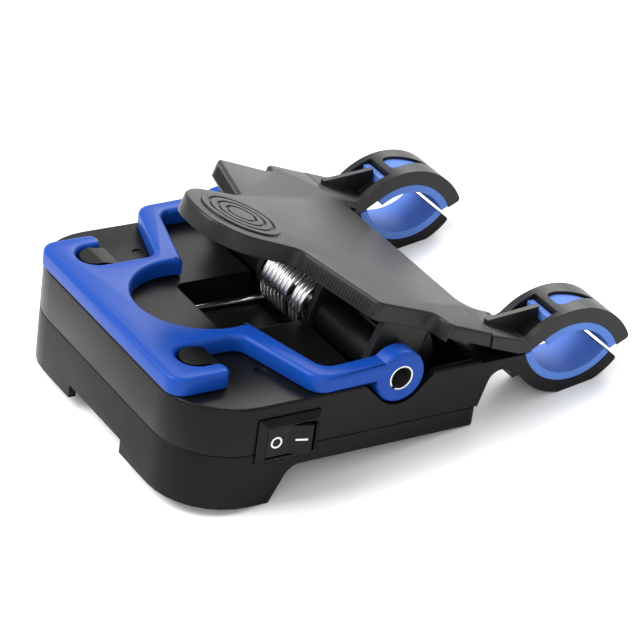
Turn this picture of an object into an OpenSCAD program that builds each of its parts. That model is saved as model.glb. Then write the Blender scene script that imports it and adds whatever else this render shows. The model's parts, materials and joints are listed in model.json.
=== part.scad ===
// Spring-clamp work light with a folding hook stand.
//
// Case frame: x runs from the head wall towards the jaws, y across the hinge
// (0 on the mid-plane, the switch on the -y side), z up from the head rim.
// Every node is then set down the way the lamp lies on a bench: it tips about
// the head's rim until the far end of the case touches too.

/* [Case] */
// Width of the case across the hinge
case_w = 112; // [104:1:136]
// Length of the case from the head wall to the end wall
case_l = 100; // [92:1:120]
// Height of the case top above the head rim
case_h = 34; // [33:1:41]
// Height of the parting line between the two case halves
split_z = 18; // [17:0.5:20]
// Height of the thin part's underside above the head rim
arm_z = 11.8; // [9:0.2:12]
// Length of the deep head along its rim
head_l = 28.5; // [26:0.5:34]
// Corner radius of the head in plan
corner_r = 22; // [10:1:26]
// Wall thickness of the case
wall = 2.5; // [2:0.1:3]
// Depth of the lens behind the head rim
lens_depth = 5; // [4:0.5:6]
// Width of the notch in the head rim
notch_w = 33; // [20:1:40]

/* [Hinge] */
// Distance of the hinge pin from the head wall
pin_x = 70; // [66:1:84]
// Outside radius of the hollow hinge pin
pin_r = 4; // [3.5:0.1:4.9]
// Wall thickness of the hollow hinge pin
pin_wall = 0.5; // [0.4:0.1:1]
// Radial running clearance of what turns on the pin
pin_fit = 0.06; // [0.02:0.01:0.09]
// Outside radius of the sleeves that carry the pin
sleeve_r = 6.5; // [6.2:0.1:7.4]
// Wire diameter of the torsion spring
wire_d = 2; // [1.6:0.1:2.4]
// Outside radius of the torsion spring
coil_r = 10.5; // [9:0.5:12]

/* [Lever] */
// Height of the lever plate above the pin, square to the plate
plate_v = 19; // [18:0.5:22]
// Reach of the thumb tab behind the pin
tab_reach = 52.5; // [46:0.5:54]
// Half width of the thumb tab
tab_r = 16; // [12:0.5:16]
// Thickness of the lever plate
plate_t = 2.2; // [1.8:0.1:2.6]
// Depth of the skirt under the plate's edge
skirt_depth = 5.8; // [4:0.2:6.4]

/* [Jaws] */
// Distance of the jaws' centre from the end wall of the case
jaw_reach = 33.3; // [30:0.5:40]
// Width of each jaw
jaw_w = 17; // [14:1:20]
// Radius of the padded jaw face
grip_r = 16.7; // [15:0.1:20]
// Thickness of the jaw pads
pad_t = 2.7; // [2:0.1:3.2]
// Thickness of the lower jaw behind its pad
jaw_t = 4.1; // [3:0.1:5]
// Extra thickness of the upper jaw
crown_t = 0.8; // [0:0.1:1.2]

/* [Stand] */
// Thickness of the stand frame
stand_t = 5.7; // [4.5:0.1:6.8]
// Width of the stand's arms and rings across the hinge
ring_w = 6; // [5:0.2:7]
// Outside radius of the stand's rings
ring_r = 8.4; // [7.8:0.1:9.8]
// Radius of the round opening that clears the thumb tab
eye_r = 20.7; // [20:0.1:22]
// Width of each hook slot
slot_w = 12; // [10:0.5:13]

/* [Switch] */
// Width of the switch bezel
bezel_w = 21; // [19:0.5:24]
// Height of the switch bezel
bezel_h = 15; // [13:0.5:17]
// Distance of the switch's centre from the head wall
switch_x = 32.2; // [32:0.5:36]
// Tilt of the rocker to each side
rocker_tilt = 8; // [5:0.5:9]

/* [Battery and lamp] */
// Diameter of one cell
cell_d = 10.5; // [9.5:0.1:11.5]
// Length of one cell
cell_l = 44.5; // [38:0.5:45]
// Number of light-emitting diodes
led_count = 6; // [4:1:7]

/* [Hidden] */
$fn = 64;

// Clearances
seat_gap = 0.1;     // fixed pieces in their seats
move_gap = 0.3;     // faces that pass each other
rest_gap = 0.5;     // what stays open between parts that rest near each other
turn_gap = 0.15;    // flat faces that turn past each other
cut_over = 1;       // how far a cutter runs past a face

// Levels and places in the case frame
half_w = case_w / 2;
pin_z = case_h + 0.3;
pin = [pin_x, pin_z];
top_t = 2.5;
bay_z = arm_z + 1.8;
trough_x = pin_x - 10;
floor_z = 22;
floor_t = 1.8;
bulkhead_t = 1.5;
well_x = 33;
well_half = 16;
well_z = case_h - 8.2;
well_t = 1.2;
slope_l = 6.1;
slope_r = 6;

// Hinge stack along y, from the mid-plane outwards
web_t = 2.6;
web_a_in = 13.6;
web_a_out = web_a_in + web_t;
web_b_out = half_w - ring_w - 2.4;
web_b_in = web_b_out - web_t;
web_left = 7.8;
web_right = 9.6;
lug_r = 16.3;
washer_t = 0.8;

// Jaw centres and angles
jaw_x = case_l + jaw_reach;
seat_r = grip_r + pad_t;
lower_c = [jaw_x, case_h - 0.4 + grip_r - 10.1];
upper_c = [jaw_x, lower_c.y - 18.9];
lower_r = seat_r + jaw_t;
upper_r = lower_r + crown_t;
lower_tip_a = 320.5;
upper_tip_a = 25.5;
upper_root_a = 125.5;
arm_top = case_h - 0.6;
lower_root_a = 180 + asin((lower_c.y - arm_top) / seat_r);
arch_r = 4.7;
arch = [jaw_x - 26.3, arm_top - 8.4];

// Lever tilt: the plate's top plane runs from above the pin to the jaw's root
root = [jaw_x - 18.8, case_h + 4];
root_d = root - pin;
lever_tilt = asin(plate_v / norm(root_d)) - atan2(root_d.y, root_d.x);
root_u = root_d.x * cos(lever_tilt) - root_d.y * sin(lever_tilt) - rest_gap;
skirt_t = 2;
arm_depth = 4.4;
ear_y = half_w - 7.6;
arm_y = half_w - 0.4;
arm_in = half_w - jaw_w - 2.4;
plate_right = 30;
jaw_split_u = plate_right + 6.2;
tab_x = tab_r - tab_reach + 1.2;
disc_r = tab_r - 3;

// Rest on the bench: the rim's inner edge and the end wall's foot touch it
rest_tilt = atan2(arm_z, case_l - head_l);
tip = upper_c + upper_r * [cos(upper_tip_a), sin(upper_tip_a)];
tip_round = 1.4;
reach_x = (tip.x - head_l) * cos(rest_tilt) + tip.y * sin(rest_tilt) - tip_round / 3;
mid_x = (reach_x - head_l * cos(rest_tilt)) / 2;

// Stand levels
stand_z = case_h + move_gap;
stand_top = stand_z + stand_t;
eye_x = 32.3;
slot_y = 31.5;
slot_x = 7.6;
hook_x = 19;
post_gap = 1;

// Switch
switch_z = 22.3;
bezel_t = 2.3;
bezel_slope = 1.9;
body_d = 12;
body_w = bezel_w - 2;
body_h = bezel_h - 2;
rocker_l = bezel_w - 6.6;
rocker_h = bezel_h - 5.4;
rocker_pivot = 3.4;
rocker_d = 5.35;
rocker_taper = 3;
rocker_back = 2.2;
rocker_rise = rocker_d + rocker_l / 2 * tan(rocker_tilt);
terminal_l = 6;
terminal_x = [-5, 0];
proud = rocker_l / 2 * sin(rocker_tilt) + rocker_rise * cos(rocker_tilt) - rocker_pivot;
mid_y = proud / 2;

// Head and battery bay
lens_t = 1.6;
ledge_z = lens_depth + lens_t + seat_gap;
cup_t = 5;
lamp_x = 15;
lamp_w = 20;
lamp_half = half_w - 18.5;
board_t = 1.6;
board_x0 = 7;
board_x1 = 34;
board_y0 = -32;
board_y1 = 30;
board_z = 21;
cell_r = cell_d / 2;
cell_z = bay_z + cell_r + seat_gap;
cell_x = [trough_x - bulkhead_t - 0.9 - 3 * cell_r, trough_x - bulkhead_t - 0.3 - cell_r];
bay_y = 3;
bay_half = cell_l + 2.4;
door_x0 = cell_x[0] - 3.4;
door_x1 = cell_x[1] + cell_r + 0.8;
door_screw_at = [door_x1 + 4.2, 0];

// Screws that hold the case halves together: two in the head, two in the thin part
screw_places = [[11, half_w - 14], [11, 14 - half_w], [case_l - 9, half_w - 22], [case_l - 9, 22 - half_w]];
screw_r = 1.5;
screw_head_r = 2.9;
screw_head_t = 1.8;
boss_r = 3.6;
rear_head_z = arm_z + 0.4;

// ---- Outline functions ----
function unit(v) = v / norm(v);
function turn(a, b) = (b - a + 540) % 360 - 180;

// Points of an arc about c
function arc(c, r, a0, a1, n = 12) =
    [for (i = [0 : n]) c + r * [cos(a0 + (a1 - a0) * i / n), sin(a0 + (a1 - a0) * i / n)]];

// One corner p = [x, y, radius] between its neighbours a and b
function corner(a, p, b, n) =
    let (q = [p.x, p.y], da = [a.x, a.y] - q, db = [b.x, b.y] - q,
        va = unit(da), vb = unit(db), h = acos(va * vb) / 2)
    (p.z == 0 || h > 89) ? [q] :
    let (t = min(p.z / tan(h), 0.48 * min(norm(da), norm(db))), r = t * tan(h),
        c = q + unit(va + vb) * r / sin(h), s = q + va * t - c, e = q + vb * t - c,
        a0 = atan2(s.y, s.x), sweep = turn(a0, atan2(e.y, e.x)))
    arc(c, r, a0, a0 + sweep, n);

function rounded(p, n = 8) =
    let (m = len(p))
    [for (i = [0 : m - 1]) each corner(p[(i + m - 1) % m], p[i], p[(i + 1) % m], n)];

// Moves a counter-clockwise outline inwards by d
function inset(p, d) =
    let (m = len(p))
    [for (i = [0 : m - 1])
        let (a = p[(i + m - 1) % m], q = p[i], b = p[(i + 1) % m],
            e1 = unit([q.x - a.x, q.y - a.y]), e2 = unit([b.x - q.x, b.y - q.y]),
            n1 = [-e1.y, e1.x], n2 = [-e2.y, e2.x],
            s = (n1 + n2) * d / (1 + n1 * n2),
            bulge = e1.x * e2.y - e1.y * e2.x)
        [q.x + s.x, q.y + s.y, q.z == 0 ? 0 : max(0.2, bulge > 0 ? q.z - d : q.z + d)]];

// Completes an outline that is given for y > 0, from right to left
function mirrored(p) =
    concat(p, [for (i = [len(p) - 1 : -1 : 0]) [p[i].x, -p[i].y, p[i].z]]);

// ---- Building helpers ----
module resting() {
    translate([-mid_x, mid_y, 0])
        rotate([0, rest_tilt, 0])
            translate([-head_l, 0, 0])
                children();
}

// Stands children in the lever's frame, with its origin on the pin
module on_lever() {
    translate([pin_x, 0, pin_z])
        rotate([0, lever_tilt, 0])
            children();
}

module both_sides() {
    children();
    mirror([0, 1, 0])
        children();
}

module slab(p, z0, z1) {
    translate([0, 0, z0])
        linear_extrude(z1 - z0)
            polygon(p);
}

// Extrudes an outline in x and z across y
module across(p, y0, y1) {
    translate([0, y1, 0])
        rotate([90, 0, 0])
            linear_extrude(y1 - y0)
                polygon(p);
}

module rod_y(r, y0, y1, at = pin) {
    translate([at.x, y1, at.y])
        rotate([90, 0, 0])
            cylinder(r = r, h = y1 - y0);
}

module box(x0, x1, y0, y1, z0, z1) {
    translate([x0, y0, z0])
        cube([x1 - x0, y1 - y0, z1 - z0]);
}

// ---- Case ----
case_plan = mirrored([[case_l, half_w, 2], [0, half_w, corner_r]]);

function case_outline(d) = rounded(inset(case_plan, d));

// Side outline of the lower half; d moves it inwards
function lower_side(d) =
    rounded([[-cut_over, d > 0 ? -cut_over : 0, 0],
        [head_l - d, d > 0 ? -cut_over : 0, 0],
        [head_l + slope_l - d, arm_z + d, slope_r],
        [case_l - d, arm_z + d, 0],
        [case_l - d, split_z + (d > 0 ? cut_over : 0), 0],
        [-cut_over, split_z + (d > 0 ? cut_over : 0), 0]]);

module switch_cutout() {
    box(switch_x - body_w / 2 - seat_gap, switch_x + body_w / 2 + seat_gap,
        -half_w - cut_over, -half_w + wall + cut_over,
        switch_z - body_h / 2 - seat_gap, switch_z + body_h / 2 + seat_gap);
}

module lower_jaw() {
    across(rounded(concat(
        [[case_l, arm_top, 0]],
        [for (q = arc(lower_c, seat_r, lower_root_a, lower_tip_a, 24)) [q.x, q.y, 0]],
        [let (q = lower_c + lower_r * [cos(lower_tip_a), sin(lower_tip_a)]) [q.x, q.y, tip_round]],
        [for (q = arc(lower_c, lower_r, lower_tip_a - 6, 216, 20)) [q.x, q.y, 0]],
        [for (q = arc(arch, arch_r, 10, 170, 12)) [q.x, q.y, 0]],
        [[case_l, split_z, 0]])),
        half_w - jaw_w, half_w);
}

// The stop that the lever's outer web closes against
module stop_lug() {
    on_lug = web_right + move_gap;
    intersection() {
        rod_y(lug_r, web_b_in, web_b_out);
        on_lever()
            box(on_lug, 2 * lug_r, web_b_in - 1, web_b_out + 1, -2 * lug_r, 2 * lug_r);
        box(pin_x, pin_x + 2 * lug_r, web_b_in - 1, web_b_out + 1, pin_z - 9, pin_z + lug_r);
    }
    box(pin_x + 8.5, pin_x + 15, web_b_in, web_b_out, floor_z - floor_t, pin_z - 6);
}

module hook_post() {
    post_w = slot_w - 2 * post_gap;
    x0 = slot_x + post_gap;
    across([[x0, case_h - top_t], [hook_x, case_h - top_t], [hook_x, stand_top - 1.6],
        [x0 + post_w / 2, stand_top - 0.4], [x0, stand_top - 0.9]],
        slot_y - post_w / 2, slot_y + post_w / 2);
}

module hook_post_round() {
    post_w = slot_w - 2 * post_gap;
    x0 = slot_x + post_gap;
    intersection() {
        hook_post();
        slab(rounded([[hook_x, slot_y - post_w / 2, 0], [hook_x, slot_y + post_w / 2, 0],
            [x0, slot_y + post_w / 2, post_w / 2], [x0, slot_y - post_w / 2, post_w / 2]]),
            0, stand_top + 1);
    }
}

module upper_shell() {
    difference() {
        slab(case_outline(0), split_z, case_h);
        slab(case_outline(wall), split_z - cut_over, case_h - top_t);
        // open trough for the lever's webs and the spring
        box(trough_x, case_l - wall, wall - half_w, half_w - wall, split_z, case_h + cut_over);
        // well for the spring's leg
        slab(rounded([[trough_x + 1, -well_half, 0], [trough_x + 1, well_half, 0],
            [well_x, well_half, 2.5], [well_x, -well_half, 2.5]]), well_z, case_h + cut_over);
    }
    // trough floor and the bulkhead in front of it
    box(trough_x - bulkhead_t, case_l - wall / 2, wall / 2 - half_w, half_w - wall / 2,
        floor_z - floor_t, floor_z);
    difference() {
        box(trough_x - bulkhead_t, trough_x, wall / 2 - half_w, half_w - wall / 2,
            floor_z - floor_t, case_h - 1);
        box(trough_x - bulkhead_t - 1, trough_x + 1, -well_half, well_half, well_z, case_h + 1);
    }
    // well floor and walls
    difference() {
        box(well_x - well_t, trough_x, -well_half - well_t, well_half + well_t, well_z - well_t, case_h - 1);
        slab(rounded([[trough_x + 1, -well_half, 0], [trough_x + 1, well_half, 0],
            [well_x, well_half, 2.5], [well_x, -well_half, 2.5]]), well_z, case_h + cut_over);
    }
}

module pin_sleeve() {
    y0 = web_a_out + move_gap;
    y1 = web_b_in - move_gap;
    rod_y(sleeve_r, y0, y1);
    for (k = [0 : 2])
        let (y = y0 + (y1 - y0 - 2) * k / 2)
            box(pin_x - 4.5, pin_x + 4.5, y, y + 2, floor_z - floor_t, pin_z);
}

// Room for the stand's ring in the side wall, opening upwards at 45 degrees
module ring_recess() {
    r = ring_r + 2 * move_gap;
    y0 = half_w - ring_w - 2 * move_gap;
    rod_y(r, y0, half_w + cut_over);
    across([[pin_x - r * sqrt(2), pin_z], [pin_x - r / sqrt(2), pin_z - r / sqrt(2)],
        [pin_x + r / sqrt(2), pin_z - r / sqrt(2)], [pin_x + r * sqrt(2), pin_z],
        [pin_x + r * sqrt(2), case_h + cut_over], [pin_x - r * sqrt(2), case_h + cut_over]],
        y0, half_w + cut_over);
}

module upper_case() {
    color([0.10, 0.10, 0.105])
        resting() {
            difference() {
                union() {
                    upper_shell();
                    both_sides() {
                        pin_sleeve();
                        stop_lug();
                        hook_post_round();
                        // square corner behind the jaw's root
                        box(case_l - wall, case_l, half_w - jaw_w, half_w, split_z, arm_top);
                    }
                    for (s = screw_places)
                        translate([s.x, s.y, split_z + seat_gap])
                            cylinder(r = boss_r, h = (s.x > trough_x ? floor_z : case_h) - 1 - split_z);
                    translate([door_screw_at.x, door_screw_at.y, split_z - 2])
                        cylinder(r = boss_r, h = floor_z - split_z + 1);
                    // posts that carry the control board
                    for (x = [board_x0 + 3, board_x1 - 3])
                        for (y = [board_y0 + 3, board_y1 - 3])
                            translate([x, y, board_z + board_t])
                                cylinder(r = 2, h = case_h - 1 - board_z - board_t);
                }
                both_sides() {
                    rod_y(pin_r + pin_fit, web_a_out, web_b_in);
                    ring_recess();
                    translate([eye_x, half_w - 18, case_h - 0.5])
                        cylinder(r = 2, h = 1);
                }
                switch_cutout();
                for (s = screw_places)
                    translate([s.x, s.y, split_z - 1])
                        cylinder(r = screw_r - 0.1, h = s.x > trough_x ? 3.4 : 9);
                translate([door_screw_at.x, door_screw_at.y, split_z - 3])
                    cylinder(r = screw_r - 0.1, h = 5.6);
            }
        }
}

// The lower jaws are moulded with the upper half, and are nodes of their own up to its end wall
module lower_jaw_near() { color([0.10, 0.10, 0.105]) resting() mirror([0, 1, 0]) lower_jaw(); }
module lower_jaw_far() { color([0.10, 0.10, 0.105]) resting() lower_jaw(); }

module lower_case() {
    color([0.10, 0.10, 0.105])
        resting() {
            difference() {
                union() {
                    difference() {
                        intersection() {
                            slab(case_outline(0), 0, split_z);
                            across(lower_side(0), -half_w - 1, half_w + 1);
                        }
                        intersection() {
                            slab(case_outline(wall), -cut_over, split_z + cut_over);
                            across(lower_side(wall), -half_w, half_w);
                        }
                    }
                    // ledge that the lens is glued under
                    intersection() {
                        difference() {
                            slab(case_outline(wall - 0.5), ledge_z, ledge_z + 1.5);
                            box(lamp_x - lamp_w / 2, lamp_x + lamp_w / 2, -lamp_half, lamp_half,
                                ledge_z - 1, ledge_z + 3);
                        }
                        across(lower_side(wall - 0.5), -half_w, half_w);
                    }
                    for (s = screw_places)
                        translate([s.x, s.y, s.x > trough_x ? arm_z : lens_depth + lens_t + seat_gap])
                            cylinder(r = boss_r, h = split_z - (s.x > trough_x ? arm_z :
                                lens_depth + lens_t + seat_gap));
                }
                switch_cutout();
                // notch in the rim
                across(rounded([[-cut_over, -cut_over, 0], [wall + cut_over, -cut_over, 0],
                    [wall + cut_over, lens_depth - 0.5, 0], [-cut_over, lens_depth - 0.5, 0]]),
                    -notch_w / 2, notch_w / 2);
                // opening for the battery door
                box(door_x0 - seat_gap, door_x1 + seat_gap, bay_y - bay_half - seat_gap,
                    bay_y + bay_half + seat_gap,
                    arm_z - cut_over, arm_z + wall + cut_over);
                box(door_x1, door_screw_at.x + 4 + seat_gap, -6 - seat_gap, 6 + seat_gap,
                    arm_z - cut_over, arm_z + 1.8);
                translate([door_screw_at.x, door_screw_at.y, arm_z])
                    cylinder(r = boss_r + seat_gap, h = wall + 1);
                for (s = screw_places)
                    if (s.x > trough_x) {
                        translate([s.x, s.y, arm_z - 1])
                            cylinder(r = screw_r + 0.2, h = split_z);
                        translate([s.x, s.y, arm_z - 1])
                            cylinder(r = screw_head_r + 0.2, h = 1 + 0.4 + screw_head_t);
                    } else {
                        translate([s.x, s.y, lens_depth])
                            cylinder(r = screw_r + 0.2, h = split_z);
                        translate([s.x, s.y, lens_depth])
                            cylinder(r = screw_head_r + 0.2, h = lens_t + seat_gap + screw_head_t + 0.4);
                    }
            }
        }
}

module battery_door() {
    color([0.11, 0.11, 0.115])
        resting()
            difference() {
                union() {
                    box(door_x0, door_x1, bay_y - bay_half, bay_y + bay_half, arm_z, bay_z);
                    box(door_x1 - 1, door_screw_at.x + 4, -6, 6, arm_z, arm_z + 1.8 - seat_gap);
                }
                for (y = [-30, 30])
                    for (k = [0 : 4])
                        box(door_x0 + 6 + 2 * k, door_x0 + 7 + 2 * k, y - 6, y + 6, arm_z - 1, arm_z + 0.5);
                translate([door_screw_at.x, door_screw_at.y, arm_z - 1])
                    cylinder(r = screw_r + 0.2, h = 4);
            }
}

// ---- Lamp ----
module lens() {
    color([0.85, 0.90, 0.95, 0.5])
        resting()
            difference() {
                intersection() {
                    slab(case_outline(wall + seat_gap), lens_depth, lens_depth + lens_t);
                    across(lower_side(wall + seat_gap), -half_w, half_w);
                }
                for (s = screw_places)
                    if (s.x < trough_x)
                        translate([s.x, s.y, lens_depth - 1])
                            cylinder(r = screw_head_r + 0.5, h = lens_t + 2);
            }
}

function led_y(k) = (k - (led_count - 1) / 2) * 2 * lamp_half / led_count;

module reflector() {
    color([0.93, 0.93, 0.92])
        resting()
            difference() {
                box(lamp_x - lamp_w / 2 + seat_gap, lamp_x + lamp_w / 2 - seat_gap,
                    seat_gap - lamp_half, lamp_half - seat_gap, ledge_z, ledge_z + cup_t);
                for (k = [0 : led_count - 1])
                    translate([lamp_x, led_y(k), ledge_z - 0.01])
                        cylinder(r1 = 6, r2 = 2.2, h = cup_t + 0.02);
            }
}

module led_board() {
    color([0.85, 0.87, 0.86])
        resting()
            box(lamp_x - lamp_w / 2, lamp_x + lamp_w / 2, -lamp_half, lamp_half,
                ledge_z + cup_t, ledge_z + cup_t + board_t);
}

module leds() {
    color([0.98, 0.93, 0.55])
        resting()
            for (k = [0 : led_count - 1])
                translate([lamp_x, led_y(k), ledge_z + cup_t - 1.1])
                    cylinder(r = 1.7, h = 1.1);
}

module control_board() {
    color([0.07, 0.33, 0.16])
        resting()
            box(board_x0, board_x1, board_y0, board_y1, board_z, board_z + board_t);
}

module board_parts() {
    color([0.16, 0.16, 0.17])
        resting() {
            box(board_x0 + 6, board_x0 + 12, -4, 4, board_z + board_t, board_z + board_t + 1.6);
            for (y = [-20, 14])
                translate([board_x1 - 8, y, board_z - 6])
                    cylinder(r = 3.1, h = 6);
            for (k = [0 : 3])
                box(board_x0 + 4, board_x0 + 6, 10 + 4 * k, 12 + 4 * k, board_z - 0.9, board_z);
        }
}

module battery_cells() {
    color([0.72, 0.60, 0.20])
        resting()
            translate([0, bay_y, 0])
                both_sides()
                    for (x = cell_x)
                        rod_y(cell_r, 0.8, 0.8 + cell_l, [x, cell_z]);
}

module battery_contacts() {
    color([0.80, 0.80, 0.80])
        resting()
            translate([0, bay_y, 0])
                both_sides()
                    for (x = cell_x)
                        box(x - 3.2, x + 3.2, cell_l + 0.8 + seat_gap, cell_l + 1.3 + seat_gap,
                            bay_z + seat_gap, cell_z + 3.2);
}

// ---- Switch ----
module switch_housing() {
    color([0.06, 0.06, 0.065])
        resting()
            translate([switch_x, -half_w, switch_z])
                difference() {
                    union() {
                        hull() {
                            box(-bezel_w / 2, bezel_w / 2, -0.5 - seat_gap, -seat_gap,
                                -bezel_h / 2, bezel_h / 2);
                            box(bezel_slope - bezel_w / 2, bezel_w / 2 - bezel_slope, -bezel_t,
                                -seat_gap, bezel_slope - bezel_h / 2, bezel_h / 2 - bezel_slope);
                        }
                        box(-body_w / 2, body_w / 2, -0.5, body_d, -body_h / 2, body_h / 2);
                    }
                    box(-rocker_l / 2 - 1.2, rocker_l / 2 + 1.2, -bezel_t - 1, 9,
                        -rocker_h / 2 - move_gap, rocker_h / 2 + move_gap);
                    translate([0, rocker_pivot, -bezel_h])
                        cylinder(r = 1, h = 2 * bezel_h);
                }
}

module switch_terminals() {
    color([0.80, 0.72, 0.42])
        resting()
            for (x = terminal_x)
                box(switch_x + x - 0.4, switch_x + x + 0.4, body_d - half_w, body_d + terminal_l - half_w,
                    board_z + board_t / 2 - 2, board_z + board_t / 2 + 2);
}

module switch_leads() {
    color([0.75, 0.12, 0.10])
        resting()
            for (x = terminal_x)
                rod_y(0.7, body_d + terminal_l + seat_gap - half_w, board_y0 - seat_gap,
                    [switch_x + x, board_z + board_t / 2]);
}

module rocker_blank() {
    l = rocker_l / 2;
    rotate([0, 0, -rocker_tilt])
        translate([0, 0, -rocker_h / 2])
            linear_extrude(rocker_h)
                polygon([[-l, -rocker_rise], [0, -rocker_d], [l, -rocker_rise],
                    [l - rocker_taper, rocker_back], [rocker_taper - l, rocker_back]]);
}

module rocker() {
    color([0.07, 0.07, 0.075])
        resting()
            translate([switch_x, rocker_pivot - half_w, switch_z]) {
                rocker_blank();
                translate([0, 0, -body_h / 2])
                    cylinder(r = 1 - pin_fit, h = body_h);
            }
}

// Circle and bar marks, raised a little on the two facets
module rocker_marks() {
    l = rocker_l / 2;
    mark_t = 0.15;
    color([0.92, 0.92, 0.92])
        resting()
            translate([switch_x, rocker_pivot - half_w, switch_z])
                rotate([0, 0, -rocker_tilt]) {
                    translate([0, -rocker_d, 0])
                        rotate([0, 0, rocker_tilt])
                            translate([-0.56 * l, 0, 0])
                                rotate([90, 0, 0])
                                    difference() {
                                        cylinder(r = 1.9, h = mark_t);
                                        translate([0, 0, -1])
                                            cylinder(r = 1.35, h = 3);
                                    }
                    translate([0, -rocker_d, 0])
                        rotate([0, 0, -rocker_tilt])
                            translate([0.56 * l, 0, 0])
                                rotate([90, 0, 0])
                                    translate([-1.9, -0.3, 0])
                                        cube([3.8, 0.6, mark_t]);
                }
}

// ---- Hinge ----
module hinge_pin() {
    color([0.85, 0.85, 0.86])
        resting()
            difference() {
                rod_y(pin_r, -half_w, half_w);
                rod_y(pin_r - pin_wall, -half_w - 1, half_w + 1);
                translate([pin_x, 0, pin_z])
                    rotate([0, -50, 0])
                        box(-pin_r - 1, 0, -half_w - 1, half_w + 1, -0.8, 0.8);
            }
}

// A tube swept along points, ringed by its neighbours' direction
function sweep_ring(p, d, r, n) =
    let (u = unit(cross(d, abs(d.y) > 0.9 ? [0, 0, 1] : [0, 1, 0])), v = cross(d, u))
    [for (k = [0 : n - 1]) p + r * (cos(360 * k / n) * u + sin(360 * k / n) * v)];

module wire(path, r, n = 8) {
    m = len(path);
    rings = [for (i = [0 : m - 1])
        let (d = unit(path[min(i + 1, m - 1)] - path[max(i - 1, 0)]))
            each sweep_ring(path[i], d, r, n)];
    faces = concat(
        [[for (k = [0 : n - 1]) n - 1 - k]],
        [for (i = [0 : m - 2]) for (k = [0 : n - 1])
            [i * n + k, i * n + (k + 1) % n, (i + 1) * n + (k + 1) % n, (i + 1) * n + k]],
        [[for (k = [0 : n - 1]) (m - 1) * n + k]]);
    polyhedron(rings, faces, convexity = 10);
}

coil_pitch = wire_d + 0.12;
coil_turns = 7.75;
coil_mean = coil_r - wire_d / 2;
coil_y0 = 11.8;
small_mean = pin_r + 2.6;
small_turns = 2.5;

leg_inset = 3;

// The coil starts where its circle meets the straight leg that lies in the well
function coil_point(a, r, y) = [r * cos(a), y, r * sin(a)];

module torsion_spring() {
    steps = 24;
    last = coil_turns * steps;
    leg_z = well_z + wire_d / 2 + turn_gap - pin_z;
    start = 180 - asin(leg_z / coil_mean);
    leg = [for (x = [well_x + leg_inset, (well_x + trough_x) / 2, trough_x])
        [x - pin_x, coil_y0, leg_z]];
    coil = [for (i = [0 : last])
        coil_point(start + 360 * i / steps, coil_mean, coil_y0 - wire_d / 2 - coil_pitch * i / steps)];
    color([0.80, 0.80, 0.82])
        resting()
            translate([pin_x, 0, pin_z])
                wire(concat(leg, coil), wire_d / 2);
}

module spring_lever_end() {
    steps = 20;
    last = small_turns * steps;
    r = wire_d / 2 - 0.1;
    y0 = coil_y0 - wire_d * 1.5 - coil_pitch * coil_turns - wire_d;
    reach = 34;
    v_end = plate_v - plate_t - r - 0.15;
    rise = atan2(v_end - small_mean, reach);
    coil = [for (i = [0 : last])
        coil_point(90 + rise + 360 * small_turns - 360 * i / steps, small_mean,
            y0 - (wire_d + 0.05) * (small_turns - i / steps) + wire_d)];
    leg = [for (i = [1 : 6])
        coil_point(90 + rise, small_mean, y0 + wire_d) + reach * i / 6 * [-cos(rise), 0, sin(rise)]];
    color([0.80, 0.80, 0.82])
        resting()
            on_lever()
                wire(concat(coil, leg), r);
}

// ---- Lever ----
lever_plan = mirrored([[root_u, arm_in, 0], [root_u, arm_y, 0], [web_right + 1.4, arm_y - 0.8, 3],
    [web_right - 0.6, ear_y - 0.6, 3], [-13.4, ear_y + 0.1, 2],
    [-23.6, tab_r + 2, 4], [-tab_reach, tab_r, tab_r - 0.5]]);

// The plate's right edge between the two arms
module plate_notch(grow) {
    slab(rounded([[root_u + 20, grow - arm_in, 0], [root_u + 20, arm_in - grow, 0],
        [plate_right + grow, arm_in - grow, 6], [plate_right + grow, grow - arm_in, 6]]),
        -2 * plate_v, 2 * plate_v);
}

module lever_web(y0, y1) {
    underside = plate_v - plate_t / 2;
    across(rounded([[-web_left, 0, 0], [web_right, 0, 0], [web_right, underside, 0],
        [-web_left, underside, 0]]), y0, y1);
    rod_y(web_left, y0, y1, [0, 0]);
}

module upper_jaw() {
    under_v = plate_v - arm_depth;
    flat_x = pin_x + (under_v - (arm_top + rest_gap - pin_z) * cos(lever_tilt)) / sin(lever_tilt);
    back = (plate_right + 4) * cos(lever_tilt);
    across(rounded(concat(
        [let (q = upper_c + upper_r * [cos(upper_tip_a), sin(upper_tip_a)]) [q.x, q.y, tip_round]],
        [for (q = arc(upper_c, upper_r, upper_tip_a + 6, 134, 24)) [q.x, q.y, 0]],
        [[root.x, root.y, 0]],
        [[pin_x + back, root.y + (root.x - pin_x - back) * tan(lever_tilt), 0]],
        [[pin_x + back, arm_top + rest_gap + (flat_x - pin_x - back) * tan(lever_tilt), 0]],
        [[flat_x, arm_top + rest_gap, 0]],
        [[jaw_x - 16.7, arm_top + rest_gap, 0]],
        [for (q = arc(upper_c, seat_r, upper_root_a, upper_tip_a, 24)) [q.x, q.y, 0]])),
        half_w - jaw_w, half_w - 0.2);
}

// Outline of the teardrop window in the upper jaw, moved inwards by d
function teardrop(d) =
    let (mid = half_w - jaw_w / 2)
    rounded(inset([[jaw_x + 13.5, mid, 0.6], [jaw_x - 1, mid + 3.6, 3.2], [jaw_x - 4.4, mid + 3.6, 3.2],
        [jaw_x - 4.4, mid - 3.6, 3.2], [jaw_x - 1, mid - 3.6, 3.2]], d));

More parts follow.
